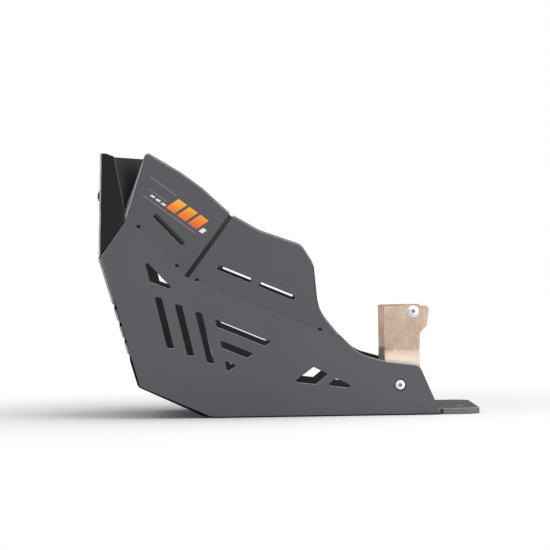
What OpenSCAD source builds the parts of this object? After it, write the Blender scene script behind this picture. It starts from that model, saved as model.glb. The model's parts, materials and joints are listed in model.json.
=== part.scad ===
// Motorcycle skid plate: one folded sheet of black plastic with its steel fixings.
// Folded parts are drawn as flat pieces of sheet, each turned about its own fold line.
// Inside the model x = 0 lies at the belly's front fold and z = 0 on its underside.
// The bike's left side is at negative y.

/* [Sheet] */
// Thickness of the sheet
sheet_t = 8; // [7:0.5:10]
// Width of the belly over its two lower folds
belly_w = 270; // [250:5:290]
// Length of the lower folds, where the wings join the belly
belly_l = 308.5; // [304:0.5:316]
// Outer radius of the lower folds and of the front panel's side folds
fold_r = 3; // [2:0.5:4]
// Outer radius of the bends in the centre strip
bend_r = 9; // [4:1:14]
// Outer radius of the fold between belly and chin
chin_fold_r = 45; // [30:1:50]
// Gap between the centre strip and the wings' inner faces
wing_gap = 1; // [0.6:0.2:2]

/* [Chin and front panel] */
// Length of the chin along its slope
chin_l = 102.7; // [95:0.5:110]
// Slope of the chin above the floor
chin_a = 25; // [22:0.1:28]
// Length of the lower front panel
lower_l = 181; // [170:1:192]
// Forward lean of the lower front panel
lower_a = 15.9; // [13:0.1:18]
// Length of the upper front panel
upper_l = 143.5; // [130:0.5:155]
// Backward lean of the upper front panel
upper_a = 1.8; // [0:0.1:3]
// Width of the upper front panel over its side folds
upper_w = 324; // [320:2:328]
// Setback of the wings' noses from the front panel's bend
front_show = 4.6; // [3:0.2:6]
// Rise of the wings' noses above the front panel's bend
nose_rise = 7.4; // [5:0.2:10]
// Setback of the wings' chin corners from the chin's corner
chin_show = 1.9; // [0.5:0.1:3]
// How far the chin's fold lies ahead of the lower folds
chin_lead = 9.8; // [6:0.2:14]

/* [Side returns] */
// Outward flare of the side return, from straight back
return_flare = 15; // [12:0.5:17]
// Depth of the side return at its top, from the front panel's face
return_top = 19.3; // [17:0.1:22]
// Depth of the side return at its widest, from the front panel's face
return_mid = 34.3; // [33:0.1:35]
// Height of the side return's rear corner above the front panel's bend
return_h = 69; // [66:0.5:72]
// Inward fold of the gusset from the side return
gusset_fold = 32; // [30:1:36]
// Step from the side return's face down to the gusset's
gusset_step = 2.2; // [1.8:0.2:2.6]
// Reach of the gusset behind the side return at its top
gusset_lap = 54; // [46:1:58]

/* [Wings] */
// Outward lean of the wing's rear part
wing_lean = 4; // [2:0.5:6]
// Outward bend of the wing's front part along the diagonal
diagonal_bend = 3.5; // [2:0.5:5]
// Outward fold of the front flap
flap_fold = 13; // [10:1:16]
// Outward fold of the rear lobe
lobe_fold = 13; // [10:1:16]
// Inner end of the slit, ahead of the belly's front fold
slit_x = 33.5; // [32:0.5:35]
// Height of the slit's inner end
slit_h = 195.5; // [193:0.5:198]
// Width of the slit
slit_w = 5.4; // [4:0.2:7]
// Slope of the slit
slit_a = 54; // [53:0.1:55]
// Slope of the front flap's seam
flap_seam_a = 46.4; // [45:0.1:48]
// Slope of the rear lobe's seam
lobe_seam_a = 23.2; // [22:0.1:24.5]
// Length of the rear lobe's seam
lobe_seam_l = 219; // [214:0.5:224]
// Diameter of the relief holes at the seams' ends
relief_d = 4.8; // [3:0.2:6]
// Rise of the wing's front edge above the front panel's bend
shoulder_h = 45.4; // [41:0.2:49]
// Run of the wing's front edge behind the front panel's bend
shoulder_run = 32.3; // [28:0.1:36]
// Height of the front flap's peak
peak_h = 366.7; // [360:0.1:372]
// Peak of the front flap, ahead of the belly's front fold
peak_x = 83.2; // [80:0.2:86]
// Height of the wing's rear corner
tail_h = 66.8; // [60:0.2:72]
// Setback of the wing's rear corner
tail_rake = 28.3; // [24:0.1:32]
// Length of the belly's tongue behind the wings
tongue_l = 53.5; // [48:0.5:60]
// Width of the tongue
tongue_w = 260; // [250:1:262]
// Chamfer at the tongue's corners, along its edge
tongue_chamfer = 16; // [10:1:20]
// Width of the notch between the wing and the tongue
notch_w = 3; // [2:0.5:4]

/* [Cut-outs] */
// Distance from one vent slot to the next
vent_pitch = 24.1; // [22.5:0.1:26]
// Width of a vent slot
vent_w = 8.4; // [7.4:0.1:9.4]
// Length of the steep vent slots
vent_l = 71.6; // [64:0.1:76]
// Lean of the steep vent slots from upright
vent_a = 12.6; // [11:0.1:14]
// Fall of the row of steep slots
vent_row_a = 21.7; // [20:0.1:23.5]
// Corner radius of the cut-outs
cut_r = 2; // [1:0.5:3]
// Width of the slots beside the seams
seam_slot_w = 6.5; // [5:0.1:8]
// Distance of those slots from their seams
seam_slot_in = 29.8; // [27:0.1:32]
// Width of the bar across the rear vent
tail_bar_w = 11.2; // [9:0.1:13]
// Height of the lowest vent along the lower front panel
front_vent_h = 43; // [36:0.5:48]
// Length of a vent slot in the lower front panel
front_vent_l = 38; // [24:1:60]
// Length of a drain slot in the belly
drain_l = 60; // [40:2:76]
// Distance from one drain slot to the next across the belly
drain_pitch = 50; // [36:2:56]

/* [Fixings] */
// Thread diameter of all screws
screw_d = 8; // [7:0.5:8.5]
// Clearance of a screw in its hole, on the diameter
screw_clear = 0.8; // [0.4:0.2:1.2]
// Head diameter of the button screws
head_d = 13.4; // [12.6:0.2:14.4]
// Head height of the button screws
head_h = 4.4; // [3.6:0.2:5]
// Depth of the recess under a button head
recess_h = 1.7; // [1:0.1:2.4]
// Radial room round a head in its recess
recess_room = 1; // [0.6:0.1:1.4]
// Thickness of the steel brackets
bracket_t = 3; // [2:0.5:4]
// Width of a side bracket's flange
bracket_w = 48; // [45:1:52]
// Height of a side bracket's top
bracket_top = 148; // [144:0.5:152]
// Height of the bend between a side bracket's slope and its upright plate
bracket_bend = 87; // [82:1:90]
// Inward offset of a side bracket's upright plate
bracket_in = 21; // [18:0.5:24]
// Length of a frame bolt under its head
frame_bolt_l = 34; // [30:1:40]
// Side screw, behind the belly's front fold
side_x = 253.3; // [249:0.1:257]
// Height of the side screw along the wing
side_h = 41.1; // [38:0.1:44]
// Spacing of the front screws
front_pitch = 264; // [244:2:268]
// Height of the front screws above the front panel's bend
front_h = 86.3; // [76:0.1:96]
// Head diameter of the front screws
front_head_d = 16.6; // [14:0.2:18]
// Width of the front bracket over its ears
ear_w = 300; // [290:2:302]
// Reach of the front bracket's ears behind the front panel
ear_l = 48; // [42:1:56]
// Height of the front bracket
ear_h = 32; // [28:1:38]
// Spacing of the holes in the tongue
tail_pitch = 120; // [100:2:140]

/* [Hidden] */
round_fn = 48;      // facets of the round drawing aids
arc_steps = 6;      // steps in each rounded corner
far = 600;          // a length beyond the whole part
hairline = 0.01;    // gap between the sheet and a bracket that lies on it
lap = 0.5;          // lap of the wing's facets past their fold lines
tip_grow = 1.15;    // growth of the lowest shallow vent about its middle
neck_slim = 1.2;    // how much thinner a frame bolt's neck is than its thread
neck_l = 1.5;       // length of that neck
thread_clear = 0.1; // clearance of a screw in its nut, on the diameter

// Geometry helpers
function unit(v) = v / norm(v);
function turn(a) = [cos(a), sin(a)];
function left_of(a) = [-sin(a), cos(a)];
function reversed(p) = [for (i = [len(p) - 1 : -1 : 0]) p[i]];
// where the line through p at angle a meets the line through q at angle b
function meet(p, a, q, b) =
    let (n = left_of(b), s = ((q - p) * n) / (turn(a) * n)) p + s * turn(a);
// points of the arc of radius r that rounds corner c between p and q
function corner(p, c, q, r) = r <= 0 ? [c] :
    let (a = unit(p - c), b = unit(q - c), half = acos(a * b) / 2,
        mid = c + unit(a + b) * r / sin(half),
        s = c + a * r / tan(half) - mid, e = c + b * r / tan(half) - mid,
        a0 = atan2(s.y, s.x), sweep = atan2(s.x * e.y - s.y * e.x, s * e))
    [for (i = [0 : arc_steps]) mid + r * turn(a0 + sweep * i / arc_steps)];
// closed outline with a radius at each point
function rounded(p, r) = let (n = len(p))
    [for (i = [0 : n - 1]) each corner(p[(i + n - 1) % n], p[i], p[(i + 1) % n], r[i])];
// closed outline with one radius at all its points
function evenly(p, r) = rounded(p, [for (v = p) r]);
// path moved sideways by d, to its left
function beside(p, d) = let (m = len(p) - 1)
    [for (i = [0 : m]) let (u = unit(p[min(i + 1, m)] - p[min(i, m - 1)]),
        v = unit(p[max(i, 1)] - p[max(i - 1, 0)]), n = [-u.y, u.x], k = [-v.y, v.x])
        p[i] + d * (n + k) / (1 + n * k)];
// outline of a bent strip of thickness t to the left of path p, with the radii r along p,
// negative where the strip bends to its right
function strip(p, t, r) = rounded(concat(p, reversed(beside(p, t))),
    concat([for (v = r) abs(v)], reversed([for (v = r) v > t ? v - t : v < 0 ? t - v : 0])));

// Side view of the centre strip's outer face
chin_fold = [-chin_lead, 0];
chin_corner = chin_fold - chin_l * turn(-chin_a);
front_bend = chin_corner + lower_l * turn(90 + lower_a);
front_top = front_bend + upper_l * turn(90 - upper_a);
tongue_end = belly_l + tongue_l;
// the front panel's foremost point, on its rounded bend
nose_x = front_bend.x + bend_r * (cos((lower_a - upper_a) / 2) / cos((lower_a + upper_a) / 2) - 1);
mid_x = (tongue_end + nose_x) / 2;

// Wing outline, in the flat sheet
slit_end = [-slit_x, slit_h];
knuckle = slit_end + lobe_seam_l * turn(-lobe_seam_a);
diagonal_a = atan2(knuckle.y, knuckle.x);
wing_chin = chin_corner + [chin_show, chin_show];
wing_nose = front_bend + [front_show, nose_rise];
shoulder = wing_nose + [shoulder_run, shoulder_h];
shoulder_a = atan2(shoulder_h, shoulder_run);
peak = [-peak_x, peak_h];
tail_corner = [belly_l - tail_rake, tail_h];
wing_foot = [0, -3];
wing_edge = [meet([0, 0], atan2(wing_chin.y, wing_chin.x), wing_foot, 0), wing_chin,
    wing_nose, shoulder, shoulder + [1.7, 17.7], peak,
    [-38, 339.4], [-9.3, 318], [28.5, 282.3], [66, 259.9], [121.5, 239.8],
    knuckle + [-29.8, 103.3], knuckle + [-24.3, 37.8], knuckle + [1, 4.5],
    knuckle + [31.2, -25.9], [236, 72.5], tail_corner,
    meet([belly_l, 0], atan2(tail_h, -tail_rake), wing_foot, 0)];
wing_edge_r = [0, 6, 2, 3, 8, 4.4, 30, 30, 2, 60, 16, 40, 60, 0, 50, 40, 11, 0];

// Side returns: their slanting foot over the front bend, their rear corner and direction
return_foot = [0, 1.5];
return_rear = return_foot + return_mid * [1, tan(shoulder_a)];
return_dir = [sin(return_flare), -cos(return_flare)];

// Fixings
hole_d = screw_d + screw_clear;
recess_d = head_d + 2 * recess_room;
nut_af = 1.625 * screw_d;
nut_h = 0.8 * screw_d;
washer_d = 2 * screw_d;
washer_h = 0.2 * screw_d;
socket_af = 0.625 * screw_d;
tail_hole_x = belly_l + 30;
csk_d = 2 * screw_d;
washer_z = -sheet_t - hairline - bracket_t - washer_h;
nut_z = washer_z - nut_h;
screw_end = nut_z - 2.5;
// Seen from the front: the left wing's slope, and a side bracket's bends
wing_up = [-sin(wing_lean), cos(wing_lean)];
pocket = [-belly_w / 2, 0] + (sheet_t + hairline) * [cos(wing_lean), sin(wing_lean)];
flange_foot = pocket + (side_h - 20) * wing_up;
flange_top = pocket + (side_h + 22) * wing_up;
slope_top = [flange_top.x + bracket_in, bracket_bend];
// the frame bolt's place, from the side
frame_bolt = [side_x + 20.2, bracket_top - 7.5];

// Frames: each puts a flat piece, drawn in its own x and y with its outer face at z = 0,
// where the folded sheet has it
module placed() translate([-mid_x, 0, 0]) children();

module at_tail() translate([0, -belly_w / 2, 0]) rotate([90 + wing_lean, 0, 0]) children();

module fold(p, a, depth, bend) translate([p.x, p.y, depth]) rotate([0, 0, a])
    rotate([bend, 0, 0]) rotate([0, 0, -a]) translate([-p.x, -p.y, -depth]) children();

module at_front() at_tail() fold([0, 0], diagonal_a, -sheet_t, diagonal_bend) children();

module at_flap() at_front() fold(slit_end, -flap_seam_a, -sheet_t, flap_fold) children();

module at_lobe() at_front() fold(slit_end, -lobe_seam_a, -sheet_t, lobe_fold) children();

module at_lower() translate([chin_corner.x, 0, chin_corner.y]) rotate([90, 0, -90])
    rotate([lower_a, 0, 0]) children();

module at_upper() translate([front_bend.x, 0, front_bend.y]) rotate([90, 0, -90])
    rotate([-upper_a, 0, 0]) children();

module at_return() at_upper() translate([upper_w / 2, 0, 0])
    rotate([0, 90 - return_flare, 0]) children();

module right() mirror([0, 1, 0]) children();

module both_sides() {
    children();
    right() children();
}

// flat sheet of outline children, with its outer face at z = 0
module sheet() translate([0, 0, -sheet_t]) linear_extrude(sheet_t) children();

// half plane on the left of a line
module half_plane(p, a) translate(p) rotate(a) translate([-far, 0]) square([2 * far, far]);

// Cut-outs of one wing
module slot(p, a, l) translate(p) rotate(a) translate([0, -seam_slot_w / 2])
    polygon(evenly([[0, 0], [l, 0], [l, seam_slot_w], [0, seam_slot_w]], cut_r));

// steep slots whose row falls to the rear
module steep_slots() for (i = [0 : 2]) {
    top = slit_end + [-44.4, -27.5] + i * vent_pitch / cos(vent_row_a + vent_a) * turn(-vent_row_a);
    down = vent_l * turn(vent_a - 90);
    across = vent_w / cos(2 * vent_a) * turn(-vent_a);
    polygon(evenly([top, top + down, top + down + across, top + across], cut_r));
}

// shallow slots that end on a steep line and on a rising line
module shallow_slots() for (i = [0 : 2]) {
    head = slit_end + [36.8, -60];
    tip = slit_end + [113, -91.4];
    top = head + i * vent_pitch * turn(-90 - lobe_seam_a);
    low = top + vent_w * turn(-90 - lobe_seam_a);
    a = meet(head, vent_a - 90, top, -lobe_seam_a);
    b = meet(tip, diagonal_a, top, -lobe_seam_a);
    c = meet(tip, diagonal_a, low, -lobe_seam_a);
    d = meet(head, vent_a - 90, low, -lobe_seam_a);
    foot = meet(head, vent_a - 90, tip, diagonal_a);
    middle = (a + foot + b) / 3;
    polygon((c - d) * turn(-lobe_seam_a) > 5 * cut_r ? rounded([a, d, c, b], [1.5, 1.5, cut_r, 1])
        : evenly([for (v = [a, foot, b]) middle + tip_grow * (v - middle)],
            min(1.5, norm(b - a) / 8)));
}

module shard() translate(slit_end)
    polygon(evenly([[-57.3, 23.2], [-50, -7.1], [-17.5, -19.8]], cut_r));

// triangular rear vent under the knuckle, parted by a bar
module tail_vents() scale([1, knuckle.y / 109.2]) translate([knuckle.x, 0]) {
    low = [-59, 47.4];
    high = [-31.8, 67.5];
    tip = [26.2, 37];
    bar = [-30.8, 42.6];
    bar_a = 38.5;
    rear = bar + tail_bar_w * turn(bar_a - 90);
    foot_a = atan2(tip.y - low.y, tip.x - low.x);
    roof_a = atan2(tip.y - high.y, tip.x - high.x);
    polygon(evenly([low, meet(low, foot_a, bar, bar_a), meet(high, roof_a, bar, bar_a), high],
        cut_r));
    polygon(evenly([meet(low, foot_a, rear, bar_a), tip, meet(high, roof_a, rear, bar_a)],
        cut_r));
}

module seam_slots() {
    flap_row = slit_end + seam_slot_in * turn(90 - flap_seam_a);
    lobe_row = slit_end + seam_slot_in * turn(90 - lobe_seam_a);
    slot(flap_row - 89.8 * turn(-flap_seam_a), -flap_seam_a, 55);
    slot(lobe_row + 34.2 * turn(-lobe_seam_a), -lobe_seam_a, 47.3);
    slot(lobe_row + 94.2 * turn(-lobe_seam_a), -lobe_seam_a, 51);
}

module relief_holes() for (p = [slit_end - 93.6 * turn(-flap_seam_a),
    slit_end - 19.2 * turn(-flap_seam_a), slit_end + 14.5 * turn(-lobe_seam_a),
    slit_end + 194.2 * turn(-lobe_seam_a)])
    translate(p) circle(d = relief_d, $fn = round_fn);

module slit() translate(slit_end) rotate(slit_a) {
    circle(d = slit_w, $fn = round_fn);
    translate([0, -slit_w / 2]) square([far / 3, slit_w]);
}

module wing_sheet() difference() {
    polygon(rounded(wing_edge, wing_edge_r));
    steep_slots();
    shallow_slots();
    shard();
    tail_vents();
    seam_slots();
}

// all that lies above the two seams, which meet at the slit's end
module above_seams(d) intersection() {
    half_plane(slit_end + d * left_of(-flap_seam_a), -flap_seam_a);
    half_plane(slit_end + d * left_of(-lobe_seam_a), -lobe_seam_a);
}

// all that lies deeper than d under the wing's outer face, with its folds
module under_wing(d) {
    at_tail() deeper(d);
    at_front() deeper(d);
    intersection() {
        at_flap() deeper(d);
        at_lobe() deeper(d);
    }
}

module deeper(d) translate([-far, -far, -far / 4 - d]) cube([2 * far, 2 * far, far / 4]);

// thick tool of the wing's outline, square to one facet
module keep() translate([0, 0, -sheet_t - 3]) linear_extrude(sheet_t + 6) intersection() {
    wing_sheet();
    children();
}

// hole and recess for a button head, through the sheet
module head_seat() {
    translate([0, 0, -sheet_t - 1]) cylinder(d = hole_d, h = sheet_t + 2, $fn = round_fn);
    translate([0, 0, -recess_h]) cylinder(d = recess_d, h = sheet_t, $fn = round_fn);
}

// Wing: one sheet in four flat facets, folded at the diagonal and at the two seams,
// with its outline and cut-outs square to each facet
module wing() difference() {
    intersection() {
        difference() {
            under_wing(0);
            under_wing(sheet_t);
        }
        union() {
            at_tail() keep() half_plane(lap * left_of(diagonal_a), diagonal_a + 180);
            at_front() keep() difference() {
                half_plane(-lap * left_of(diagonal_a), diagonal_a);
                above_seams(lap);
            }
            at_flap() keep() intersection() {
                half_plane(slit_end - lap * left_of(-flap_seam_a), -flap_seam_a);
                half_plane(slit_end, slit_a);
            }
            at_lobe() keep() intersection() {
                half_plane(slit_end - lap * left_of(-lobe_seam_a), -lobe_seam_a);
                half_plane(slit_end, slit_a + 180);
                half_plane(-lap * left_of(diagonal_a), diagonal_a);
            }
        }
    }
    at_front() translate([0, 0, -far / 10]) linear_extrude(far / 5) {
        slit();
        relief_holes();
    }
    at_tail() translate([side_x, side_h, 0]) head_seat();
    translate([-far, -far, -far]) cube([2 * far, 2 * far, far]);
}

// Centre strip: belly with its tongue, chin and front panel
// the belly ends inside the wings' sheet, and the chin and front panel clear of it
module plan_half() polygon([[-far, 0], [-far, upper_w / 2], [-2, upper_w / 2],
    [-2, belly_w / 2 - 0.6 * sheet_t], [belly_l - 1, belly_w / 2 - 0.6 * sheet_t],
    [belly_l - 1, tongue_w / 2 - 6], [belly_l + notch_w, tongue_w / 2 - 6],
    [belly_l + notch_w, tongue_w / 2], [tongue_end - tongue_chamfer, tongue_w / 2],
    [tongue_end, tongue_w / 2 - tongue_chamfer], [tongue_end, 0]]);

module centre_band() rotate([90, 0, 0]) translate([0, 0, -far / 2]) linear_extrude(far)
    polygon(strip([front_bend + 14 * turn(90 - upper_a), front_bend, chin_corner, chin_fold,
        [tongue_end, 0]], sheet_t, [0, bend_r, bend_r, chin_fold_r, 0]));

// the space beside the chin and the front panel that the wing takes
module beside_wing() intersection() {
    at_front() translate([-far / 2, -far / 2, -sheet_t - wing_gap]) cube([far, far, far / 2]);
    translate([-far, -far, -far / 2]) cube([far, far, far + front_top.y]);
}

// half the lower front panel's width beside vent i
function front_edge(i) = belly_w / 2 + 4 + 1.5 * i;

// four rows of vents that run out into the side edges of the lower front panel
module front_vents() at_lower() for (i = [0 : 3], s = [-1, 1])
    translate([s * front_edge(i), front_vent_h + i * vent_pitch, -far / 4]) rotate(-s * vent_a)
    translate([-front_vent_l / 2, -vent_w / 2]) linear_extrude(far / 2)
    square([front_vent_l, vent_w]);

// drain slots, and countersunk holes for the frame's rear bolts
module belly_holes() {
    for (x = [60, 160], i = [-1 : 1]) translate([x, i * drain_pitch - vent_w / 2, -1])
        linear_extrude(sheet_t + 2)
        polygon(evenly([[0, 0], [drain_l, 0], [drain_l, vent_w], [0, vent_w]], cut_r));
    for (s = [-1, 1]) translate([tail_hole_x, s * tail_pitch / 2, 0]) {
        translate([0, 0, -1]) cylinder(d = hole_d, h = sheet_t + 2, $fn = round_fn);
        cylinder(d1 = csk_d, d2 = hole_d, h = (csk_d - hole_d) / 2, $fn = round_fn);
        translate([0, 0, -1]) cylinder(d = csk_d, h = 1, $fn = round_fn);
    }
}

module centre_strip() difference() {
    intersection() {
        centre_band();
        translate([0, 0, -1]) linear_extrude(far) {
            plan_half();
            mirror([0, 1]) plan_half();
        }
    }
    both_sides() beside_wing();
    front_vents();
    belly_holes();
}

// Upper front panel with its side returns, as a strip bent to three sides
module front_hood() at_upper() difference() {
    intersection() {
        rotate([90, 0, 0]) translate([0, 0, -upper_l]) linear_extrude(upper_l + 20)
            polygon(strip([[upper_w / 2, 0] + 2 * return_mid * return_dir, [upper_w / 2, 0],
                [-upper_w / 2, 0], [-upper_w / 2, 0] + 2 * return_mid * [-return_dir.x,
                return_dir.y]], sheet_t, [0, fold_r, fold_r, 0]));
        rotate([0, 90, 0]) translate([0, 0, -far / 2]) linear_extrude(far)
            polygon([return_foot - 0.5 * return_rear, return_rear, [return_mid, return_h],
                [return_top, upper_l - 4], [sheet_t, upper_l], [-0.5 * return_mid, upper_l]]);
    }
    for (s = [-1, 1]) translate([s * front_pitch / 2, front_h, -far / 10])
        cylinder(d = hole_d, h = far / 5, $fn = round_fn);
}

// Gusset, folded in from the rear edge of the side return and set under its outer face
module gusset() {
    low = [return_mid / cos(return_flare), return_h];
    high = [return_top / cos(return_flare), upper_l - 4];
    line_a = atan2(high.y - low.y, high.x - low.x);
    at_return() fold(low, line_a, -gusset_step, gusset_fold) translate([0, 0, -gusset_step])
        sheet() polygon([low + 3 * left_of(line_a) - 2 * turn(line_a - 180), low + [1, 3],
            low + [4.5, 10.5], low + [14.5, 14], high + [gusset_lap, -1.5],
            high + [0, -1], high + 3 * left_of(line_a) + [0, -1.2]]);
}

// waste that is cut off to round the left lower fold
module fold_rounding() {
    edge = [-belly_w / 2, 0];
    arc = corner([0, 0], edge, edge + far * wing_up, fold_r);
    translate([-chin_lead, 0, 0]) rotate([90, 0, 90]) linear_extrude(belly_l + chin_lead + 2)
        polygon(concat(arc, [arc[arc_steps] - [fold_r, 0], edge - [2 * fold_r, fold_r],
            arc[0] - [0, fold_r]]));
}

module skid_plate() color([0.2, 0.2, 0.21]) difference() {
    union() {
        centre_strip();
        front_hood();
        both_sides() wing();
        both_sides() gusset();
    }
    both_sides() fold_rounding();
}

// Fixings, each drawn along z with its head's seat at z = 0
module shank(l) translate([0, 0, -l]) cylinder(d = screw_d, h = l + 0.5, $fn = round_fn);

module button_head(d = head_d) {
    rim = 0.25 * head_h;
    dome_r = (pow(d / 2, 2) + pow(head_h - rim, 2)) / (2 * (head_h - rim));
    difference() {
        intersection() {
            cylinder(d = d, h = head_h, $fn = round_fn);
            translate([0, 0, head_h - dome_r]) sphere(dome_r, $fn = round_fn);
        }
        translate([0, 0, 0.4 * head_h]) cylinder(d = socket_af / cos(30), h = head_h, $fn = 6);
    }
}

module screw(l, d = head_d) {
    button_head(d);
    shank(l);
}

// bolt with a neck between its shank and its thread, and a chamfered end
module bolt(l, grip) {
    button_head();
    shank(grip);
    translate([0, 0, -grip - neck_l - 0.5])
        cylinder(d = screw_d - neck_slim, h = neck_l + 1, $fn = round_fn);
    translate([0, 0, 1 - l]) cylinder(d = screw_d, h = l - 1 - grip - neck_l, $fn = round_fn);
    translate([0, 0, -l]) cylinder(d1 = screw_d - 2, d2 = screw_d, h = 1, $fn = round_fn);
}

module washer() difference() {
    cylinder(d = washer_d, h = washer_h, $fn = round_fn);
    translate([0, 0, -1]) cylinder(d = hole_d - 0.4, h = washer_h + 2, $fn = round_fn);
}

module nut() difference() {
    intersection() {
        cylinder(d = nut_af / cos(30), h = nut_h, $fn = 6);
        translate([0, 0, nut_h / 2]) sphere(nut_af * 0.62, $fn = round_fn);
    }
    translate([0, 0, -1]) cylinder(d = screw_d + thread_clear, h = nut_h + 2, $fn = round_fn);
}

module at_side_screw() at_tail() translate([side_x, side_h, 0]) children();

module at_front_screw() at_upper() translate([front_pitch / 2, front_h, 0]) children();

module at_frame_bolt() translate([frame_bolt.x, slope_top.x, frame_bolt.y])
    rotate([90, 0, 0]) children();

// Side bracket: a bent plate, cut to its side view
module side_bracket() color([0.75, 0.7, 0.64]) difference() {
    intersection() {
        translate([side_x - 19.8, 0, 0]) rotate([90, 0, 90]) linear_extrude(far / 6)
            polygon(strip(reversed([flange_foot, flange_top, slope_top,
                [slope_top.x, bracket_top]]), bracket_t, [0, -4, 5, 0]));
        side_cut();
    }
    at_side_screw() translate([0, 0, -far / 10])
        cylinder(d = hole_d, h = far / 5, $fn = round_fn);
    at_frame_bolt() translate([0, 0, -far / 10]) cylinder(d = hole_d, h = far / 5, $fn = round_fn);
}

// side view of a side bracket, as the tool that cuts it
module side_cut() {
    front = side_x - 19.8;
    rear = front + bracket_w;
    rotate([90, 0, 0]) linear_extrude(far / 3)
        polygon(rounded([[front, side_h - 25], [front, bracket_top],
            [rear + 11, bracket_top], [rear + 14, bracket_top - 4],
            [rear + 10.3, bracket_top - 28], [rear + 1, bracket_top - 36],
            [rear - 0.5, bracket_bend - 14], [rear, side_h - 25]], [6, 3, 5, 3, 4, 10, 4, 6]));
}

module side_screw() color([0.92, 0.92, 0.93]) at_side_screw()
    translate([0, 0, -recess_h]) screw(-recess_h - screw_end);

module side_washer() color([0.8, 0.8, 0.82]) at_side_screw()
    translate([0, 0, washer_z]) washer();

module side_nut() color([0.8, 0.8, 0.82]) at_side_screw() translate([0, 0, nut_z]) nut();

module frame_washer() color([0.8, 0.8, 0.82]) at_frame_bolt() washer();

module frame_bolt_piece() color([0.92, 0.92, 0.93]) at_frame_bolt()
    translate([0, 0, washer_h]) bolt(frame_bolt_l, washer_h + bracket_t + 0.4);

module front_screw() color([0.16, 0.16, 0.17]) at_front_screw() screw(-screw_end, front_head_d);

module front_washer() color([0.8, 0.8, 0.82]) at_front_screw()
    translate([0, 0, washer_z]) washer();

module front_nut() color([0.8, 0.8, 0.82]) at_front_screw() translate([0, 0, nut_z]) nut();

// Front bracket: a strap behind the front panel with two ears bent back
module front_bracket() color([0.7, 0.7, 0.72]) at_upper()
    translate([0, front_h, -sheet_t - hairline])
    difference() {
        intersection() {
            rotate([90, 0, 0]) translate([0, 0, -ear_h / 2]) linear_extrude(ear_h)
                polygon(strip([[ear_w / 2, -ear_l], [ear_w / 2, 0], [-ear_w / 2, 0],
                    [-ear_w / 2, -ear_l]], bracket_t, [0, 5, 5, 0]));
            rotate([0, 90, 0]) translate([0, 0, -far / 2]) linear_extrude(far)
                polygon(rounded([[-1, -ear_h / 2], [ear_l, -ear_h / 2], [ear_l, ear_h / 2],
                    [-1, ear_h / 2]], [0, ear_h / 3, ear_h / 3, 0]));
        }
        for (s = [-1, 1]) translate([s * front_pitch / 2, 0, -far / 10])
            cylinder(d = hole_d, h = far / 5, $fn = round_fn);
        translate([-far / 2, 0, ear_h / 2 - ear_l]) rotate([0, 90, 0])
            cylinder(d = hole_d, h = far, $fn = round_fn);
    }

placed() skid_plate();
placed() side_bracket();  // side_bracket_left
placed() right() side_bracket();  // side_bracket_right
placed() side_screw();  // side_screw_left
placed() right() side_screw();  // side_screw_right
placed() side_washer();  // side_washer_left
placed() right() side_washer();  // side_washer_right
placed() side_nut();  // side_nut_left
placed() right() side_nut();  // side_nut_right
placed() frame_bolt_piece();  // frame_bolt_left
placed() right() frame_bolt_piece();  // frame_bolt_right
placed() frame_washer();  // frame_washer_left
placed() right() frame_washer();  // frame_washer_right
placed() front_bracket();
placed() front_screw();  // front_screw_left
placed() right() front_screw();  // front_screw_right
placed() front_washer();  // front_washer_left
placed() right() front_washer();  // front_washer_right
placed() front_nut();  // front_nut_left
placed() right() front_nut();  // front_nut_right
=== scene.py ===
import json
import math

import bpy
from mathutils import Matrix, Vector

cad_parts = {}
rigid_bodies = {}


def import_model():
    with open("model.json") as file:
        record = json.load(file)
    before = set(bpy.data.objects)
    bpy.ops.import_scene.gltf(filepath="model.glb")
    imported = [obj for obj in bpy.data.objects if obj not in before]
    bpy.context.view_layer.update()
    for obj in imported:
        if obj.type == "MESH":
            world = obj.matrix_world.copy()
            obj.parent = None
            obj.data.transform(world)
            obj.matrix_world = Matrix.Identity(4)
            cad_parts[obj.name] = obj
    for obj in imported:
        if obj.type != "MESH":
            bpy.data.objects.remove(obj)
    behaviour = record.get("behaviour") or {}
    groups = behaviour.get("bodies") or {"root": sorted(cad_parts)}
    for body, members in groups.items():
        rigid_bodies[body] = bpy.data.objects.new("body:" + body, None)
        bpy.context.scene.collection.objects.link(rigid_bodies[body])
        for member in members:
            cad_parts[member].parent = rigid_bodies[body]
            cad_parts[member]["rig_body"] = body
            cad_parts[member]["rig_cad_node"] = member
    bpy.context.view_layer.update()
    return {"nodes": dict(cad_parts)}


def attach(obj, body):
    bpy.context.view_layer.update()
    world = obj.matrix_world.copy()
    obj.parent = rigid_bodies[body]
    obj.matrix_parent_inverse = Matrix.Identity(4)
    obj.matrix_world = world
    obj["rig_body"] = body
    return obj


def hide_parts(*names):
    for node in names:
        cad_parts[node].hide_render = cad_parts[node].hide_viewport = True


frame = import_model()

scene = bpy.context.scene
scene.view_settings.view_transform = "Standard"
nodes = frame["nodes"]


# small helpers
def tint(r, g, b):
    # a colour as seen on screen, 0 to 255, made linear for the shaders
    return tuple(((c / 255 + 0.055) / 1.055) ** 2.4 for c in (r, g, b)) + (1.0,)


def pickOnly(piece):
    bpy.ops.object.select_all(action="DESELECT")
    piece.select_set(True)
    bpy.context.view_layer.objects.active = piece


def startMaterial(name, metallic=0.0, specular=0.5):
    material = bpy.data.materials.new(name)
    material.use_nodes = True
    tree = material.node_tree
    shader = tree.nodes["Principled BSDF"]
    shader.inputs["Metallic"].default_value = metallic
    shader.inputs["Specular IOR Level"].default_value = specular
    place = tree.nodes.new("ShaderNodeTexCoord").outputs["Object"]
    return material, tree, shader, place


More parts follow.
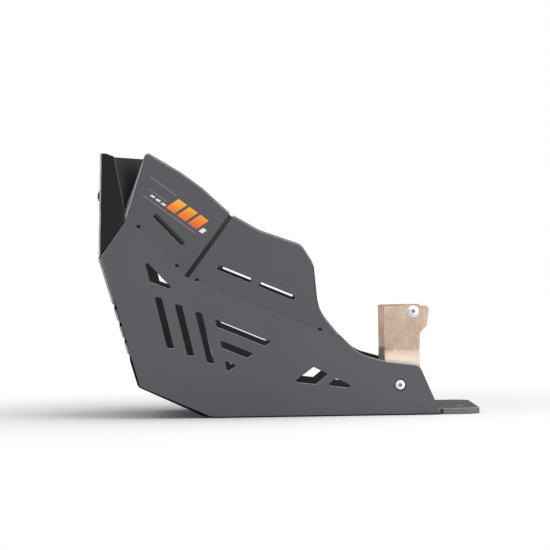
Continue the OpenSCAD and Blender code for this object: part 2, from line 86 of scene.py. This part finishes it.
def noise(tree, place, scale, detail=3.0, stretch=(1, 1, 1), roughness=0.5):
    # noise on the object's own metres, drawn out along an axis by a small stretch value
    mapping = tree.nodes.new("ShaderNodeMapping")
    mapping.inputs["Scale"].default_value = stretch
    tree.links.new(place, mapping.inputs["Vector"])
    texture = tree.nodes.new("ShaderNodeTexNoise")
    texture.inputs["Scale"].default_value = scale
    texture.inputs["Detail"].default_value = detail
    texture.inputs["Roughness"].default_value = roughness
    tree.links.new(mapping.outputs["Vector"], texture.inputs["Vector"])
    return texture.outputs["Fac"]


def ramp(tree, source, stops):
    # stops are (place, value or colour)
    node = tree.nodes.new("ShaderNodeValToRGB")
    band = node.color_ramp
    while len(band.elements) < len(stops):
        band.elements.new(0.5)
    for element, (place, value) in zip(band.elements, stops):
        element.position = place
        element.color = value if isinstance(value, tuple) else (value, value, value, 1.0)
    tree.links.new(source, node.inputs["Fac"])
    return node.outputs["Color"]


def span(tree, source, low, high, toLow=0.0, toHigh=1.0):
    node = tree.nodes.new("ShaderNodeMapRange")
    limits = (("From Min", low), ("From Max", high), ("To Min", toLow), ("To Max", toHigh))
    for key, value in limits:
        node.inputs[key].default_value = value
    tree.links.new(source, node.inputs["Value"])
    return node.outputs["Result"]


def blendColours(tree, amount, first, second, kind="MIX"):
    node = tree.nodes.new("ShaderNodeMix")
    node.data_type = "RGBA"
    node.blend_type = kind
    for socket, value in ((node.inputs["Factor"], amount), (node.inputs["A"], first),
                          (node.inputs["B"], second)):
        if isinstance(value, (float, tuple)):
            socket.default_value = value
        else:
            tree.links.new(value, socket)
    return node.outputs["Result"]


def sums(tree, kind, first, second):
    node = tree.nodes.new("ShaderNodeMath")
    node.operation = kind
    for socket, value in zip(node.inputs, (first, second)):
        if isinstance(value, float):
            socket.default_value = value
        else:
            tree.links.new(value, socket)
    return node.outputs["Value"]


def addBump(tree, shader, height, strength, distance):
    bump = tree.nodes.new("ShaderNodeBump")
    bump.inputs["Strength"].default_value = strength
    bump.inputs["Distance"].default_value = distance
    tree.links.new(height, bump.inputs["Height"])
    tree.links.new(bump.outputs["Normal"], shader.inputs["Normal"])


# side brackets: plated steel
steelLook = {
    "pale": tint(213, 190, 170), "deep": tint(188, 160, 139), "spot": tint(240, 230, 216),
    "spots": 0.45,                                # how strongly the pale spots show
    "slope": (0.070, 0.088), "slopeHighlight": 0.45,  # heights over which the sloped foot gets a painted highlight, paler towards the bottom, and its strength
    "foot": tint(176, 170, 166), "footShade": 0.8,
    "footLine": (0.129, 0.0927), "footWidth": 0.0006,   # the line's fall and height, its half width
    "rough": (0.36, 0.52), "grain": 0.00004,
}


def bracketMaterial(look):
    # plated steel with upright rolling grain and a few pale spots
    material, tree, shader, place = startMaterial("platedBracket", metallic=0.35, specular=0.5)
    grain = noise(tree, place, 900.0, 3.0, (1.0, 1.0, 0.03))
    clouds = noise(tree, place, 40.0, 4.0)
    base = ramp(tree, clouds, [(0.3, look["deep"]), (0.7, look["pale"])])
    base = blendColours(tree, 1.0, base, ramp(tree, grain, [(0.3, 0.9), (0.7, 1.08)]), "MULTIPLY")
    spots = span(tree, noise(tree, place, 150.0, 2.0), 0.66, 0.74)
    base = blendColours(tree, sums(tree, "MULTIPLY", spots, look["spots"]), base, look["spot"])
    height = tree.nodes.new("ShaderNodeSeparateXYZ")
    tree.links.new(place, height.inputs["Vector"])
    # painted highlight on the sloped foot, which faces up towards the light
    slope = span(tree, height.outputs["Z"], look["slope"][1], look["slope"][0])
    base = blendColours(tree, sums(tree, "MULTIPLY", slope, look["slopeHighlight"]), base, look["spot"])
    # a shaded line where the bracket comes up behind the wing's top edge
    fall, level = look["footLine"]
    lift = sums(tree, "ADD", height.outputs["Z"], sums(tree, "MULTIPLY", height.outputs["X"], fall))
    foot = span(tree, lift, level + look["footWidth"], level - look["footWidth"])
    base = blendColours(tree, sums(tree, "MULTIPLY", foot, look["footShade"]), base, look["foot"])
    tree.links.new(base, shader.inputs["Base Color"])
    tree.links.new(span(tree, grain, 0.3, 0.7, *look["rough"]), shader.inputs["Roughness"])
    addBump(tree, shader, grain, 0.3, look["grain"])
    return material


# screws, bolts, nuts, washers: pale and deep colour, share of metal, least and most roughness
fixingLook = {
    "zincSteel": (tint(252, 252, 253), tint(236, 237, 240), 0.15, 0.3, 0.42),
    "blackSteel": (tint(40, 40, 43), tint(28, 28, 31), 0.3, 0.34, 0.48),
    # darker steel for the painted shade inside the hexagon sockets
    "socketShadeSteel": (tint(158, 158, 162), tint(132, 132, 137), 0.3, 0.4, 0.5),
}


def fixingMaterial(name):
    pale, deep, metallic, low, high = fixingLook[name]
    material, tree, shader, place = startMaterial(name, metallic=metallic)
    grain = noise(tree, place, 2600.0, 2.0)
    clouds = noise(tree, place, 260.0, 3.0)
    base = ramp(tree, clouds, [(0.3, deep), (0.7, pale)])
    base = blendColours(tree, 1.0, base, ramp(tree, grain, [(0.3, 0.94), (0.7, 1.04)]), "MULTIPLY")
    tree.links.new(base, shader.inputs["Base Color"])
    tree.links.new(span(tree, clouds, 0.3, 0.7, low, high), shader.inputs["Roughness"])
    addBump(tree, shader, grain, 0.2, 0.00002)
    return material


platedBracket = bracketMaterial(steelLook)
zincSteel, blackSteel, socketShadeSteel = [fixingMaterial(name) for name in fixingLook]
print("materials of the fixings made")


# pieces that take a node's shape, with their corners eased
easing = {
    "weld": 0.00006,                    # loose triangles closer than this are joined
    "flat": 0.6,                        # degrees below which faces are one flat
    "stray": 0.00014,                   # corners further off the solid go back on it
    "large": 0.00016,                   # square metres from which a face keeps its folds crisp
    "fold": 1.5, "corner": 50.0,        # degrees: least bend of such a fold, and of any sharp edge
}


def smoothRounds(piece):
    # rounds are smooth, flat faces stay flat, and folds between large faces stay crisp
    data = piece.data
    around = {}
    for face in data.polygons:
        face.use_smooth = True
        for key in face.edge_keys:
            around.setdefault(key, []).append(face)
    for edge in data.edges:
        pair = around.get(edge.key, [])
        if len(pair) == 2:
            bend = math.degrees(pair[0].normal.angle(pair[1].normal, 0.0))
            crisp = bend > easing["fold"] and min(f.area for f in pair) > easing["large"]
            edge.use_edge_sharp = bend > easing["corner"] or crisp
    pickOnly(piece)
    even = piece.modifiers.new("even", "WEIGHTED_NORMAL")
    even.mode = "FACE_AREA"
    even.weight = 100
    even.keep_sharp = True
    bpy.ops.object.modifier_apply(modifier="even")


def easedCopy(nodeName, pieceName, width, angle):
    pickOnly(nodes[nodeName])
    bpy.ops.object.duplicate()
    piece = bpy.context.object
    piece.name = pieceName
    piece.data.name = pieceName
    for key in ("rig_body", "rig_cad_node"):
        if key in piece:
            del piece[key]
    piece.data.materials.clear()
    bpy.ops.object.mode_set(mode="EDIT")
    bpy.ops.mesh.select_all(action="SELECT")
    bpy.ops.mesh.customdata_custom_splitnormals_clear()
    bpy.ops.mesh.remove_doubles(threshold=easing["weld"])
    bpy.ops.mesh.dissolve_degenerate(threshold=easing["weld"])
    bpy.ops.mesh.select_all(action="SELECT")
    bpy.ops.mesh.dissolve_limited(angle_limit=math.radians(easing["flat"]))
    bpy.ops.object.mode_set(mode="OBJECT")
    bevel = piece.modifiers.new("ease", "BEVEL")
    bevel.width = width
    bevel.segments = 2
    bevel.limit_method = "ANGLE"
    bevel.angle_limit = math.radians(angle)
    bevel.use_clamp_overlap = False
    bevel.miter_outer = "MITER_ARC"
    bevel.harden_normals = False
    for slot in range(2):               # the second slot marks the eased corners
        piece.data.materials.append(zincSteel)
    bevel.material = 1
    bpy.ops.object.modifier_apply(modifier="ease")
    for vertex in piece.data.vertices:
        nearest = nodes[nodeName].closest_point_on_mesh(vertex.co)[1]
        if (nearest - vertex.co).length > easing["stray"]:
            vertex.co = nearest
    smoothRounds(piece)
    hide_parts(nodeName)
    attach(piece, "root")
    return piece


# the folded sheet
skin = {
    "ease": 0.0004, "angle": 24.0,  # width of the eased corners, and the least angle that gets one
    "hood": tint(22, 22, 27),       # side returns and gussets beside the front panel, in painted shade
    "dark": tint(20, 20, 23),       # painted shade on walls that look down or lie in a slot
    "inside": tint(40, 40, 43),     # inner faces, darker than the outer faces as painted shade
    "wall": tint(104, 105, 109),    # milled edges that look up, painted lighter as lit from above
    "outside": tint(85, 85, 89),    # outer faces of the wings
    "rubAndHighlight": tint(206, 207, 208),     # paler corners and the fold's crown: partly rubbed wear, mostly painted highlight
    "scuff": tint(140, 140, 142), "scuffs": 0.06,
    # the seam colour also paints the shadow along the front edge below the nose
    "seam": tint(52, 52, 56), "seamWidth": 0.0007,
    "seams": {"flap": 0.14, "lobe": 0.4},           # how strongly each seam shows
    "frontShade": 0.85, "frontWidth": 0.0011,       # shaded front edge below the nose
    # painted highlight along the front edge above the nose, as x and z
    "shoulder": ((-0.2515, 0.2235), (-0.2210, 0.2674), (-0.1930, 0.3483)),
    "shoulderHighlight": 0.7,
    "slot": (tint(15, 15, 17), tint(25, 25, 28)),   # painted shade on the walls of the slots and holes
    "rough": (0.44, 0.56), "slotRough": (0.7, 0.85), "grain": 0.00005,
}
plate = easedCopy("skid_plate", "sheetSkin", skin["ease"], skin["angle"])
mesh = plate.data


def sideOn(vector, centre):
    # the vector as it would be on the left side
    return Vector((vector.x, vector.y if centre.y < 0 else -vector.y, vector.z))


# the largest faces give the wing's facets on the left side
outerFaces = [f for f in mesh.polygons if f.center.y < 0 and f.normal.y < -0.85 and f.area > 0.002]
outerFaces.sort(key=lambda f: -f.area)
facets = []
for face in outerFaces:
    if all(face.normal.angle(other.normal) > math.radians(2) for other in facets):
        facets.append(face)
frontFacet = min((f for f in facets if f.normal.z > -0.16 and f.center.x < 0.05),
                 key=lambda f: -f.area)
frontNormal, frontPoint = frontFacet.normal.copy(), frontFacet.center.copy()
flapFacet = min((f for f in facets if f.normal.z < -0.16), key=lambda f: f.center.x)
flapNormal, flapPoint = flapFacet.normal.copy(), flapFacet.center.copy()


def inSlot(face):
    # a wall that faces another wall of the same sheet
    start = face.center + face.normal * 0.0005
    return plate.ray_cast(start, face.normal, distance=0.08)[0]


# where the sheet's parts begin and end, in metres
zone = {
    "hoodFoot": 0.234, "crown": -0.245,     # the hood's side returns, and the crown of their fold
    "frontEnd": -0.105, "edgeDepth": 0.006,  # edges of front panel and chin, set in from the wing
    "panel": -0.2, "chinFoot": 0.05,        # front panel ahead of this, chin's foot below this
    "under": 0.04, "belly": 0.06,           # undersides, and the inside of belly and chin
    "bellyFace": 0.0002, "ringFace": 0.0003,    # least and most area of their faces, square metres
    "hoodRims": 0.27, "hoodBack": -0.19,    # rims of the hood: above and ahead of these
    "tongue": 0.206,                        # free end of the tongue
    "cornerTop": 0.08,                      # the wing's chin corner lies below this
    "seat": Vector((0.1485, 0.0, 0.0411)), "ring": 0.009,   # recess of the side screw
}


def faceFinish(face):
    # tone 0 hood in painted shade, 0.2 painted shade, 0.4 inside in painted shade, 0.7 milled wall
    # painted lighter, 1 outside, and how far the face is rubbed or carries a painted highlight
    n, c = sideOn(face.normal, face.center), sideOn(face.center, face.center)
    depth = (frontPoint - c).dot(frontNormal)
    high = c.z > zone["hoodFoot"]
    sideways = n.y < -0.85
    tone, rubAndHighlight = 0.2, 0.0
    if high and c.x < zone["crown"] and n.x < -0.3 and n.y < -0.2:
        tone, rubAndHighlight = 0.0, 0.9                # crown of the hood's side fold: painted shade, with a painted highlight on the crown, partly stress whitening
    elif high and n.y < -0.9 and abs(n.x) > 0.2 and abs(n.z) < 0.12:
        tone = 0.0                          # side returns and gussets, in painted shade
    elif sideways and c.x < zone["frontEnd"] and depth > zone["edgeDepth"]:
        if c.z > zone["chinFoot"]:
            tone, rubAndHighlight = 1.0, 1.0            # edge of the front panel and chin, with a painted highlight
    elif sideways or n.x < -0.8 and c.x < zone["panel"] or n.z < -0.88 and c.z < zone["under"]:
        tone = 1.0
    # inner faces, here and in the next branch, in painted shade
    elif n.y > 0.85 or n.x > 0.85 and c.x < zone["panel"]:
        tone = 0.4
    elif n.z > 0.88 and c.z < zone["belly"] and face.area > zone["bellyFace"]:
        tone = 0.4
    # milled walls that look up: painted light from above
    elif n.z > 0.25 and n.y < 0.5 and not inSlot(face):
        tone = 0.7
    if face.material_index == 1:            # eased corners
        if c.z > zone["hoodRims"] and c.x < zone["hoodBack"]:
            # rims of the hood in painted shade, with a faint painted highlight where they face out
            tone, rubAndHighlight = 0.0, 0.25 if n.y < -0.3 else 0.0
        else:
            # painted highlight, stronger the more the corner looks up
            rubAndHighlight = max(0.0, min(1.0, 1.8 * n.z, 0.4 + n.z)) if n.y < 0.2 else 0.0
            tone = 1.0 if n.z > -0.1 or n.y < -0.6 else 0.4
            if n.z < 0.1 and n.y < -0.2 and c.z > 0.02:
                tone = 0.2                  # rims that look down get painted shade
    if c.x > zone["tongue"] and abs(n.z) < 0.5:
        tone = 0.7                          # edges of the tongue
    away = (Vector((c.x, 0, c.z)) - zone["seat"]).length
    if away < zone["ring"] and face.area < zone["ringFace"]:
        tone, rubAndHighlight = 0.2, 0.0                # painted shade in the recess round the side screw
    return tone, rubAndHighlight


toneLayer = mesh.attributes.new("faceTone", "FLOAT", "FACE")
rubHighlightLayer = mesh.attributes.new("edgeRubAndHighlight", "FLOAT", "FACE")
for face in mesh.polygons:
    toneLayer.data[face.index].value, rubHighlightLayer.data[face.index].value = faceFinish(face)

# the seams are the long shallow creases between outer faces
creases = {"flap": [], "lobe": []}
faceOf = {}
for face in mesh.polygons:
    for key in face.edge_keys:
        faceOf.setdefault(key, []).append(face)
for key, pair in faceOf.items():
    if len(pair) == 2 and all(f.center.y < 0 and f.normal.y < -0.85 for f in pair):
        ends = [mesh.vertices[i].co for i in key]
        bend = math.degrees(pair[0].normal.angle(pair[1].normal))
        if 9 < bend < 18 and (ends[0] - ends[1]).length > 0.006:
            run = (ends[1] - ends[0]) if ends[1].x > ends[0].x else (ends[0] - ends[1])
            slope = math.degrees(math.atan2(run.z, run.x))
            if -60 < slope < -35:
                creases["flap"] += ends
            elif -35 < slope < -12:
                creases["lobe"] += ends


# the wing's straight front edge, from its chin corner to its nose
frontEdge = [min((mesh.vertices[i].co for f in outerFaces for i in f.vertices
                  if mesh.vertices[i].co.z < zone["cornerTop"]), key=lambda v: v.x + v.z * 0.2),
             min((mesh.vertices[i].co for f in outerFaces for i in f.vertices), key=lambda v: v.x)]


def seamMask(tree, place, ends, width):
    # 1 on a narrow band from the first to the last of these points, seen from the side
    first, last = min(ends, key=lambda v: v.x), max(ends, key=lambda v: v.x)
    run = Vector((last.x - first.x, 0, last.z - first.z))
    length = run.length
    run.normalize()
    offset = tree.nodes.new("ShaderNodeVectorMath")
    offset.operation = "SUBTRACT"
    tree.links.new(place, offset.inputs[0])
    offset.inputs[1].default_value = (first.x, 0, first.z)
    values = []
    for direction in (run, Vector((-run.z, 0, run.x))):
        dot = tree.nodes.new("ShaderNodeVectorMath")
        dot.operation = "DOT_PRODUCT"
        tree.links.new(offset.outputs["Vector"], dot.inputs[0])
        dot.inputs[1].default_value = direction
        values.append(dot.outputs["Value"])
    across = span(tree, sums(tree, "ABSOLUTE", values[1], 0.0), width, width * 0.4)
    along = span(tree, sums(tree, "ABSOLUTE", sums(tree, "SUBTRACT", values[0], length / 2), 0.0),
                 length / 2 + 0.001, length / 2 - 0.001)
    return sums(tree, "MULTIPLY", across, along)


def sheetMaterial(look):
    material, tree, shader, place = startMaterial("blackSheet", specular=0.3)
    tone = tree.nodes.new("ShaderNodeAttribute")
    tone.attribute_name = "faceTone"
    rubAndHighlight = tree.nodes.new("ShaderNodeAttribute")
    rubAndHighlight.attribute_name = "edgeRubAndHighlight"
    base = ramp(tree, tone.outputs["Fac"], [(0.0, look["hood"]), (0.2, look["dark"]),
                                           (0.4, look["inside"]), (0.7, look["wall"]),
                                           (1.0, look["outside"])])
    clouds = noise(tree, place, 9.0, 4.0)
    grain = noise(tree, place, 1400.0, 2.0)
    streaks = noise(tree, place, 60.0, 3.0, (0.12, 1.0, 1.0))
    for source, stops in ((clouds, [(0.3, 0.95), (0.7, 1.05)]),
                          (grain, [(0.25, 0.93), (0.75, 1.07)])):
        base = blendColours(tree, 1.0, base, ramp(tree, source, stops), "MULTIPLY")
    scuff = sums(tree, "MULTIPLY", span(tree, noise(tree, place, 240.0, 3.0, (0.08, 1.0, 0.7)),
                                        0.62, 0.7), span(tree, streaks, 0.48, 0.66))
    base = blendColours(tree, sums(tree, "MULTIPLY", scuff, look["scuffs"]), base, look["scuff"])
    outer = span(tree, tone.outputs["Fac"], 0.9, 0.95)
    seams = 0.0
    for name, strength in look["seams"].items():
        line = sums(tree, "MULTIPLY", seamMask(tree, place, creases[name], look["seamWidth"]),
                    strength)
        seams = sums(tree, "MAXIMUM", line, seams)
    seams = sums(tree, "MULTIPLY", seams, outer)
    base = blendColours(tree, seams, base, look["seam"])
    # rubbed wear and painted highlight on corners, the fold's crown and the front edges
    wearAndHighlight = sums(tree, "MULTIPLY", rubAndHighlight.outputs["Fac"], span(tree, noise(tree, place, 70.0, 3.0),
                                                           0.3, 0.6, 0.6, 1.0))
    base = blendColours(tree, wearAndHighlight, base, look["rubAndHighlight"])
    shade = sums(tree, "MULTIPLY", seamMask(tree, place, frontEdge, look["frontWidth"]), outer)
    base = blendColours(tree, sums(tree, "MULTIPLY", shade, look["frontShade"]), base, look["seam"])
    # painted highlight along the front edge above the nose
    for low, high in zip(look["shoulder"], look["shoulder"][1:]):
        ends = [Vector((low[0], 0, low[1])), Vector((high[0], 0, high[1]))]
        shine = sums(tree, "MULTIPLY", seamMask(tree, place, ends, look["seamWidth"]), outer)
        base = blendColours(tree, sums(tree, "MULTIPLY", shine, look["shoulderHighlight"]), base,
                            look["rubAndHighlight"])
    tree.links.new(base, shader.inputs["Base Color"])
    rough = sums(tree, "ADD", span(tree, clouds, 0.3, 0.7, *look["rough"]),
                 sums(tree, "MULTIPLY", scuff, 0.12))
    tree.links.new(rough, shader.inputs["Roughness"])
    height = sums(tree, "ADD", grain, sums(tree, "MULTIPLY", streaks, 0.6))
    height = sums(tree, "SUBTRACT", height, sums(tree, "MULTIPLY", seams, 4.0))
    addBump(tree, shader, height, 0.35, look["grain"])
    return material


def slotMaterial(look):
    # painted shade: dark matte walls of the slots and holes, and rims that look down
    material, tree, shader, place = startMaterial("slotShade", specular=0.0)
    grain = noise(tree, place, 900.0, 3.0)
    tree.links.new(ramp(tree, grain, list(zip((0.3, 0.7), look["slot"]))),
                   shader.inputs["Base Color"])
    tree.links.new(span(tree, grain, 0.3, 0.7, *look["slotRough"]), shader.inputs["Roughness"])
    addBump(tree, shader, grain, 0.3, look["grain"])
    return material


mesh.materials.clear()
mesh.materials.append(sheetMaterial(skin))
mesh.materials.append(slotMaterial(skin))
# faces in painted shade take the slot material
for face, tone in zip(mesh.polygons, toneLayer.data):
    face.material_index = 1 if 0.1 < tone.value < 0.3 else 0
print("sheet dressed,", len(mesh.polygons), "faces; seams of",
      [len(v) for v in creases.values()], "points")


# eased width and least angle of the bent steel, and of the screws
bentEase, screwEase = (0.0004, 30.0), (0.00025, 40.0)


def dressFixing(nodeName, pieceName, material, slotName, width, angle):
    piece = easedCopy(nodeName, pieceName, width, angle)
    for face in piece.data.polygons:
        face.material_index = 0
    piece.data.materials.clear()
    piece.data.materials.append(material)
    return piece


def shadedSocket(piece, inward, radius=0.0029, rim=0.0004, deep=0.0034):
    # the hexagon socket's faces, near the axis and just under the head's top, take a darker steel
    # as painted shade in the recess
    faces = piece.data.polygons
    middle = sum((v.co for v in piece.data.vertices), Vector()) / len(piece.data.vertices)
    top = min((v.co - middle).dot(inward) for v in piece.data.vertices)
    piece.data.materials.append(socketShadeSteel)
    for face in faces:
        run = face.center - middle
        depth = run.dot(inward)
        if (run - inward * depth).length < radius and rim < depth - top < deep:
            face.material_index = 1


for side, across in (("left", 1), ("right", -1)):
    label = side.capitalize()
    inward = Vector((0, across, 0))
    leaning = (inward + Vector((0, 0, 0.07))).normalized()      # the wings lean out
    dressFixing("side_bracket_" + side, "sideBracket" + label, platedBracket, "bracket_steel",
                *bentEase)
    shadedSocket(dressFixing("side_screw_" + side, "sideScrew" + label, zincSteel, "zinc_steel",
                           *screwEase), leaning)
    shadedSocket(dressFixing("frame_bolt_" + side, "frameBolt" + label, zincSteel, "zinc_steel",
                           *screwEase), inward)
    dressFixing("front_screw_" + side, "frontScrew" + label, blackSteel, "black_steel", *screwEase)
dressFixing("front_bracket", "frontStrap", blackSteel, "black_steel", *bentEase)

for name, node in nodes.items():
    if "washer" in name or "nut" in name:
        node.data.materials.clear()
        node.data.materials.append(zincSteel)
print("fixings dressed")


# slanted stripes on the front flaps, printed
stripes = {
    "place": (-0.1515, 0.2875), "slope": -38.0, "thick": 0.00014, "lift": 0.00002,
    # from, to, bottom, top, slant, finish: along and across the row, in millimetres
    "shapes": [(-9, 5, -9, 11, 7, 0), (9, 23, -9, 11, 7, 0), (27, 41, -9, 11, 7, 0),
               (-50, -8, 12.4, 13.6, 0, 1), (-44, 44, -14.8, -13.6, 0, 1),
               (-36, -30, -9, -6, 2, 2), (-27, -21, -9, -6, 2, 2), (-18, -12, -9, -6, 2, 2),
               (-42, -13, -2.6, -1.5, 0, 1), (45, 51, -9, -1.5, 2.5, 2)],
    "top": tint(255, 214, 62), "middle": tint(251, 144, 40), "bottom": tint(232, 60, 44),
    "line": tint(128, 130, 133), "white": tint(232, 232, 232),
    "rise": (0.45, 0.89), "fade": (-0.019, 0.017),      # way and reach of the fade, as x and z
}


def printMaterial(name, colours, look):
    material, tree, shader, place = startMaterial(name, specular=0.4)
    grain = noise(tree, place, 1500.0, 2.0)
    if len(colours) == 1:
        base = colours[0]
    else:
        rise = tree.nodes.new("ShaderNodeVectorMath")
        rise.operation = "DOT_PRODUCT"
        tree.links.new(place, rise.inputs[0])
        rise.inputs[1].default_value = (look["rise"][0], 0, look["rise"][1])
        middle = sum(a * b for a, b in zip(look["rise"], look["place"]))
        low, high = look["fade"]
        base = ramp(tree, span(tree, rise.outputs["Value"], middle + low, middle + high),
                    list(zip((0.0, 0.5, 1.0), colours)))
    base = blendColours(tree, 1.0, base, ramp(tree, grain, [(0.3, 0.9), (0.7, 1.04)]), "MULTIPLY")
    tree.links.new(base, shader.inputs["Base Color"])
    tree.links.new(span(tree, grain, 0.3, 0.7, 0.34, 0.46), shader.inputs["Roughness"])
    return material


printMaterials = [
    printMaterial("warmStripe", [stripes["bottom"], stripes["middle"], stripes["top"]], stripes),
    printMaterial("greyLine", [stripes["line"]], stripes),
    printMaterial("whiteDash", [stripes["white"]], stripes),
]


def flapStripes(side, name):
    slope = math.radians(stripes["slope"])
    x, z = stripes["place"]
    n, p = flapNormal, flapPoint
    y = p.y - (n.x * (x - p.x) + n.z * (z - p.z)) / n.y
    along = Vector((math.cos(slope), 0, math.sin(slope)))
    along -= n * along.dot(n)
    along.normalize()
    across = n.cross(along)
    made = []
    for low, high, bottom, top, slant, finish in stripes["shapes"]:
        bpy.ops.object.select_all(action="DESELECT")
        bpy.ops.mesh.primitive_plane_add(size=1.0)
        shape = bpy.context.object
        bpy.ops.object.mode_set(mode="EDIT")
        bpy.ops.transform.resize(value=((high - low) / 1000, (top - bottom) / 1000, 1))
        bpy.ops.transform.translate(value=((high + low) / 2000, (top + bottom) / 2000, 0))
        bpy.ops.object.mode_set(mode="OBJECT")
        middle = (top + bottom) / 2000
        for vertex in shape.data.vertices:
            vertex.select = vertex.co.y > middle
        for edge in shape.data.edges:
            edge.select = all(shape.data.vertices[i].select for i in edge.vertices)
        for face in shape.data.polygons:
            face.select = False
        bpy.ops.object.mode_set(mode="EDIT")
        bpy.ops.transform.translate(value=(slant / 1000, 0, 0))
        bpy.ops.mesh.select_all(action="SELECT")
        bpy.ops.mesh.extrude_region_move(
            TRANSFORM_OT_translate={"value": (0, 0, stripes["thick"])})
        bpy.ops.mesh.select_all(action="SELECT")
        bpy.ops.mesh.normals_make_consistent(inside=False)
        bpy.ops.object.mode_set(mode="OBJECT")
        shape.data.materials.append(printMaterials[finish])
        made.append(shape)
    bpy.ops.object.select_all(action="DESELECT")
    for shape in made:
        shape.select_set(True)
    bpy.context.view_layer.objects.active = made[0]
    bpy.ops.object.join()
    piece = bpy.context.object
    piece.name = name
    piece.data.name = name
    turn = Matrix((along, across, n)).transposed().to_4x4()
    piece.matrix_world = Matrix.Translation(Vector((x, y, z)) + n * stripes["lift"]) @ turn
    if side > 0:
        piece.matrix_world = Matrix.Scale(-1, 4, (0, 1, 0)) @ piece.matrix_world
    pickOnly(piece)
    bpy.ops.object.transform_apply(location=True, rotation=True, scale=True)
    bpy.ops.object.mode_set(mode="EDIT")
    bpy.ops.mesh.select_all(action="SELECT")
    bpy.ops.mesh.normals_make_consistent(inside=False)
    bpy.ops.mesh.sort_elements(type="CURSOR_DISTANCE", elements={"FACE"})   # same order each run
    bpy.ops.object.mode_set(mode="OBJECT")
    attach(piece, "root")


flapStripes(-1, "flapStripesLeft")
flapStripes(1, "flapStripesRight")
print("stripes set on the flaps")


# pale floor, which fades to white between these distances
stageLook = {"floor": tint(244, 244, 245), "size": 24.0, "height": -0.0004,
             "near": 0.3, "far": 0.8}


def floorMaterial(look):
    material = bpy.data.materials.new("paleFloor")
    material.use_nodes = True
    tree = material.node_tree
    tree.nodes.clear()
    output = tree.nodes.new("ShaderNodeOutputMaterial")
    place = tree.nodes.new("ShaderNodeTexCoord").outputs["Object"]
    plain = tree.nodes.new("ShaderNodeBsdfDiffuse")
    plain.inputs["Color"].default_value = look["floor"]
    glow = tree.nodes.new("ShaderNodeEmission")
    distance = tree.nodes.new("ShaderNodeVectorMath")
    distance.operation = "LENGTH"
    tree.links.new(place, distance.inputs[0])
    seen = tree.nodes.new("ShaderNodeLightPath").outputs["Is Camera Ray"]
    amount = sums(tree, "MULTIPLY", seen, span(tree, distance.outputs["Value"], look["near"],
                                               look["far"]))
    mix = tree.nodes.new("ShaderNodeMixShader")
    tree.links.new(amount, mix.inputs["Fac"])
    tree.links.new(plain.outputs["BSDF"], mix.inputs[1])
    tree.links.new(glow.outputs["Emission"], mix.inputs[2])
    tree.links.new(mix.outputs["Shader"], output.inputs["Surface"])
    return material


bpy.ops.object.select_all(action="DESELECT")
bpy.ops.mesh.primitive_plane_add(size=stageLook["size"], location=(0, 0, stageLook["height"]))
floor = bpy.context.object
floor.name = "floor"
bpy.ops.object.transform_apply(location=True, rotation=True, scale=True)
floor.data.materials.append(floorMaterial(stageLook))

# soft light from all round, on a white background
skyLook = {"light": 0.6}
world = bpy.data.worlds.new("softSky")
scene.world = world
world.use_nodes = True
tree = world.node_tree
tree.nodes.clear()
output = tree.nodes.new("ShaderNodeOutputWorld")
lit = tree.nodes.new("ShaderNodeBackground")
lit.inputs["Strength"].default_value = skyLook["light"]
white = tree.nodes.new("ShaderNodeBackground")
path = tree.nodes.new("ShaderNodeLightPath")
white.inputs["Color"].default_value = (1, 1, 1, 1)
lit.inputs["Color"].default_value = (1, 1, 1, 1)
mix = tree.nodes.new("ShaderNodeMixShader")
tree.links.new(path.outputs["Is Camera Ray"], mix.inputs["Fac"])
tree.links.new(lit.outputs["Background"], mix.inputs[1])
tree.links.new(white.outputs["Background"], mix.inputs[2])
tree.links.new(mix.outputs["Shader"], output.inputs["Surface"])


# lamps: place, aim, size and power
lamps = {
    "topLamp": ((0.3, -0.6, 2.6), (0, 0, 0.15), 2.2, 23.0),
    "sideLamp": ((1.2, -1.5, 0.9), (0.15, 0, 0.15), 1.0, 17.0),
}
for name, (place, aim, size, power) in lamps.items():
    turn = (Vector(aim) - Vector(place)).to_track_quat("-Z", "Y").to_euler()
    bpy.ops.object.light_add(type="AREA", location=place, rotation=turn)
    lamp = bpy.context.object
    lamp.name = name
    lamp.data.shape = "SQUARE"
    lamp.data.size = size
    lamp.data.energy = power

view = {"place": (-0.01917, -4.0, 0.19294), "roll": -0.93, "lens": 186.18}
turn = (Matrix.Rotation(math.radians(90), 3, "X")
        @ Matrix.Rotation(math.radians(view["roll"]), 3, "Z"))
bpy.ops.object.camera_add(location=view["place"], rotation=turn.to_euler())
camera = bpy.context.object
camera.name = "photoCamera"
camera.data.sensor_width = 36.0
camera.data.lens = view["lens"]
camera.data.clip_end = 60.0
scene.camera = camera
print("stage, lamps and camera set")
